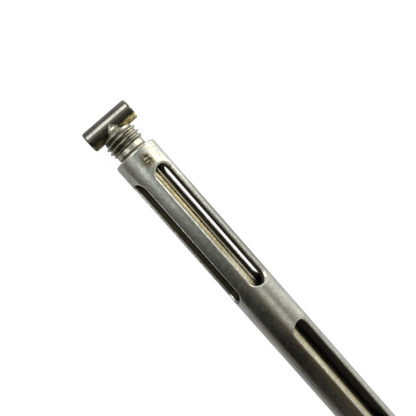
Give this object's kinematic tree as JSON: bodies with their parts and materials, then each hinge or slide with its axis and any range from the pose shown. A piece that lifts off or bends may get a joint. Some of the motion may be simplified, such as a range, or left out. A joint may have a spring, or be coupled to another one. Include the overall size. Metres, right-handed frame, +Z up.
{
  "type": "mechanical pencil",
  "caption": "All-metal mechanical pencil: slotted steel barrel, T-handled tail screw driving a lead tube, ringed grip and three-jaw lead clutch.",
  "frame": {"origin": "middle of the footprint, on the surface that the barrel lies on", "axes": "+X along the pencil towards the writing tip, +Y along the T-bar, +Z up"},
  "size_m": [0.1491, 0.0116, 0.01],
  "materials": {
    "satin_steel": "satin, worn",
    "polished_steel": "polished, worn",
    "screw_steel": "turned, worn",
    "stained_steel": "dull, tarnished",
    "warm_steel": "satin, tarnished",
    "brass": "turned",
    "spring_steel": "bright",
    "graphite": "matt"
  },
  "bodies": {
    "barrel_assembly": {"barrel": "satin_steel", "tail_bush": "brass", "bush_set_screw": "stained_steel", "guide_bush": "brass", "grip_sleeve": "satin_steel", "nose_cone": "satin_steel", "clutch_ring": "polished_steel", "spring_seat": "polished_steel", "clutch_spring": "spring_steel"},
    "push_assembly": {"lead_tube": "warm_steel", "thrust_washer": "brass", "thrust_collar": "brass", "spring_collar": "brass", "clutch_body": "brass"},
    "tail_screw_assembly": {"tail_screw": "screw_steel", "cross_bar": "polished_steel"},
    "jaw_a": {"clutch_jaw_a": "polished_steel"},
    "jaw_b": {"clutch_jaw_b": "polished_steel"},
    "jaw_c": {"clutch_jaw_c": "polished_steel"},
    "lead_body": {"lead": "graphite"}
  },
  "joints": [
    {"name": "clutch_slide", "type": "slide", "parent": "barrel_assembly", "child": "push_assembly", "axis": [1, 0, 0], "range_m": [0, 0.0044], "deforming": ["clutch_spring"]},
    {"name": "tail_screw_turn", "type": "hinge", "parent": "push_assembly", "child": "tail_screw_assembly", "pos_m": [-0.0722, 0, 0.005], "axis": [1, 0, 0], "range_deg": [0, 1440.5]},
    {"name": "jaw_a_flex", "type": "hinge", "parent": "push_assembly", "child": "jaw_a", "pos_m": [0.0486, 0, 0.0064], "axis": [0, -1, 0], "range_deg": [0, 1]},
    {"name": "jaw_b_flex", "type": "hinge", "parent": "push_assembly", "child": "jaw_b", "pos_m": [0.0486, 0.00121, 0.0043], "axis": [0, 0.5, 0.866], "range_deg": [0, 1]},
    {"name": "jaw_c_flex", "type": "hinge", "parent": "push_assembly", "child": "jaw_c", "pos_m": [0.0486, -0.00121, 0.0043], "axis": [0, 0.5, -0.866], "range_deg": [0, 1]},
    {"name": "lead_slide", "type": "slide", "parent": "push_assembly", "child": "lead_body", "axis": [1, 0, 0], "range_m": [-0.012, 0.03]}
  ],
  "couplings": [
    {"joint": "tail_screw_turn", "follows": "clutch_slide", "rad_per_m": 5712},
    {"joint": "jaw_a_flex", "follows": "clutch_slide", "rad_per_m": 3.9667},
    {"joint": "jaw_b_flex", "follows": "clutch_slide", "rad_per_m": 3.9667},
    {"joint": "jaw_c_flex", "follows": "clutch_slide", "rad_per_m": 3.9667}
  ]
}
